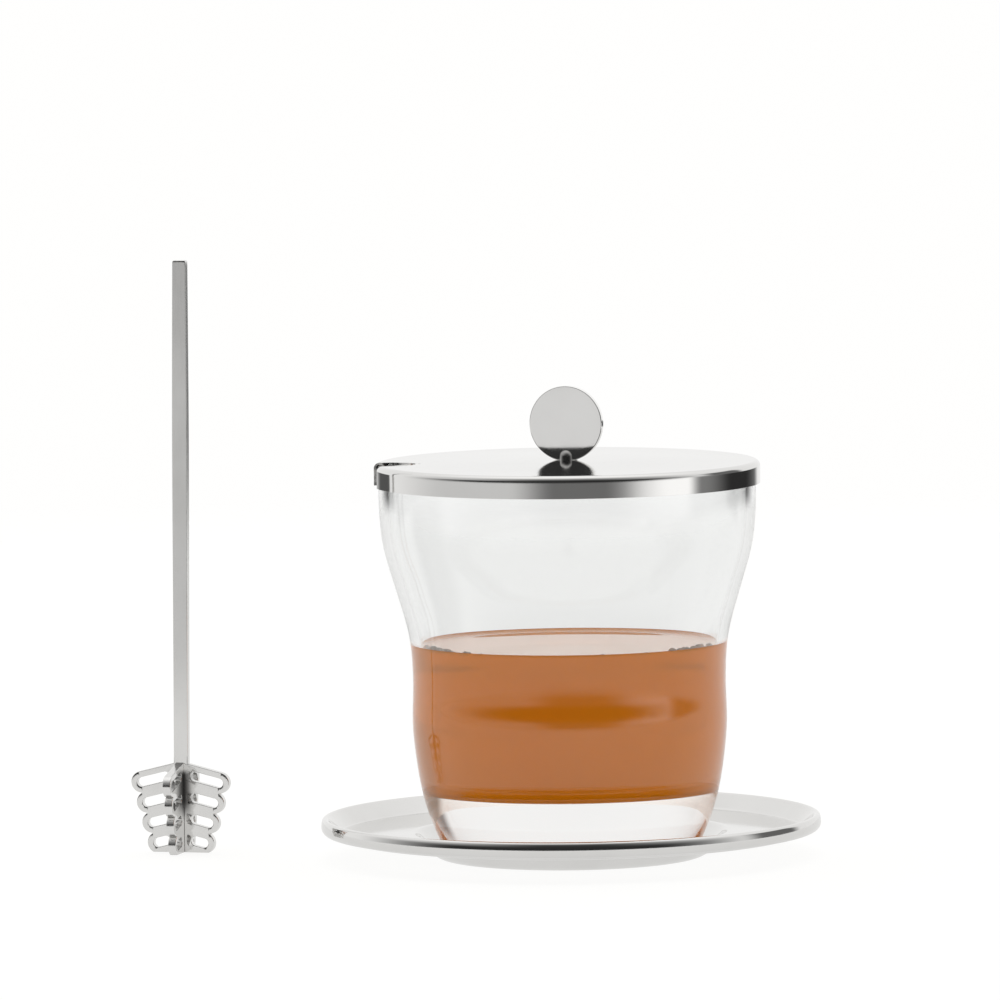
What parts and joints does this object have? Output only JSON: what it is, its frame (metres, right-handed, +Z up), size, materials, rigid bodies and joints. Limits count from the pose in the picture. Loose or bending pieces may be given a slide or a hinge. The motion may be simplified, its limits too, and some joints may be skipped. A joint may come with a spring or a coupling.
{
  "type": "honey pot with lift-off lid",
  "caption": "Waisted glass honey pot in a steel saucer, with a notched lift-off steel lid and upright disc knob, and a cross-plate steel dipper that stands beside it.",
  "frame": {"origin": "on the pot's axis, at the middle of the saucer's flat foot, where it meets the table", "axes": "+Z up along the pot's axis; -Y is the front, towards the picture's camera; the dipper stands on the -X side"},
  "size_m": [0.1821, 0.1314, 0.1571],
  "materials": {
    "saucer_steel": "mirror-polished stainless steel",
    "clear_glass": "clear, fire-polished",
    "honey": "translucent amber, wet gloss",
    "lid_steel": "mirror-polished stainless steel",
    "hardware_steel": "plain turned stainless steel",
    "dipper_steel": "polished laser-cut stainless plate"
  },
  "bodies": {
    "saucer": {"saucer": "saucer_steel"},
    "jar": {"glass_jar": "clear_glass", "honey_fill": "honey"},
    "lid": {"lid_cover": "lid_steel", "knob_disc": "lid_steel", "knob_stud": "lid_steel", "knob_washer": "hardware_steel", "knob_nut": "hardware_steel"},
    "dipper": {"dipper_blade": "dipper_steel", "dipper_cross": "dipper_steel"}
  },
  "joints": [
    {"name": "jar_lift", "type": "slide", "parent": "saucer", "child": "jar", "axis": [0, 0, 1], "range_m": [0, 0.04]},
    {"name": "lid_lift", "type": "slide", "parent": "jar", "child": "lid", "axis": [0, 0, 1], "range_m": [0, 0.04]},
    {"name": "dipper_lift", "type": "slide", "parent": "saucer", "child": "dipper", "axis": [0, 0, 1], "range_m": [0, 0.06]}
  ]
}
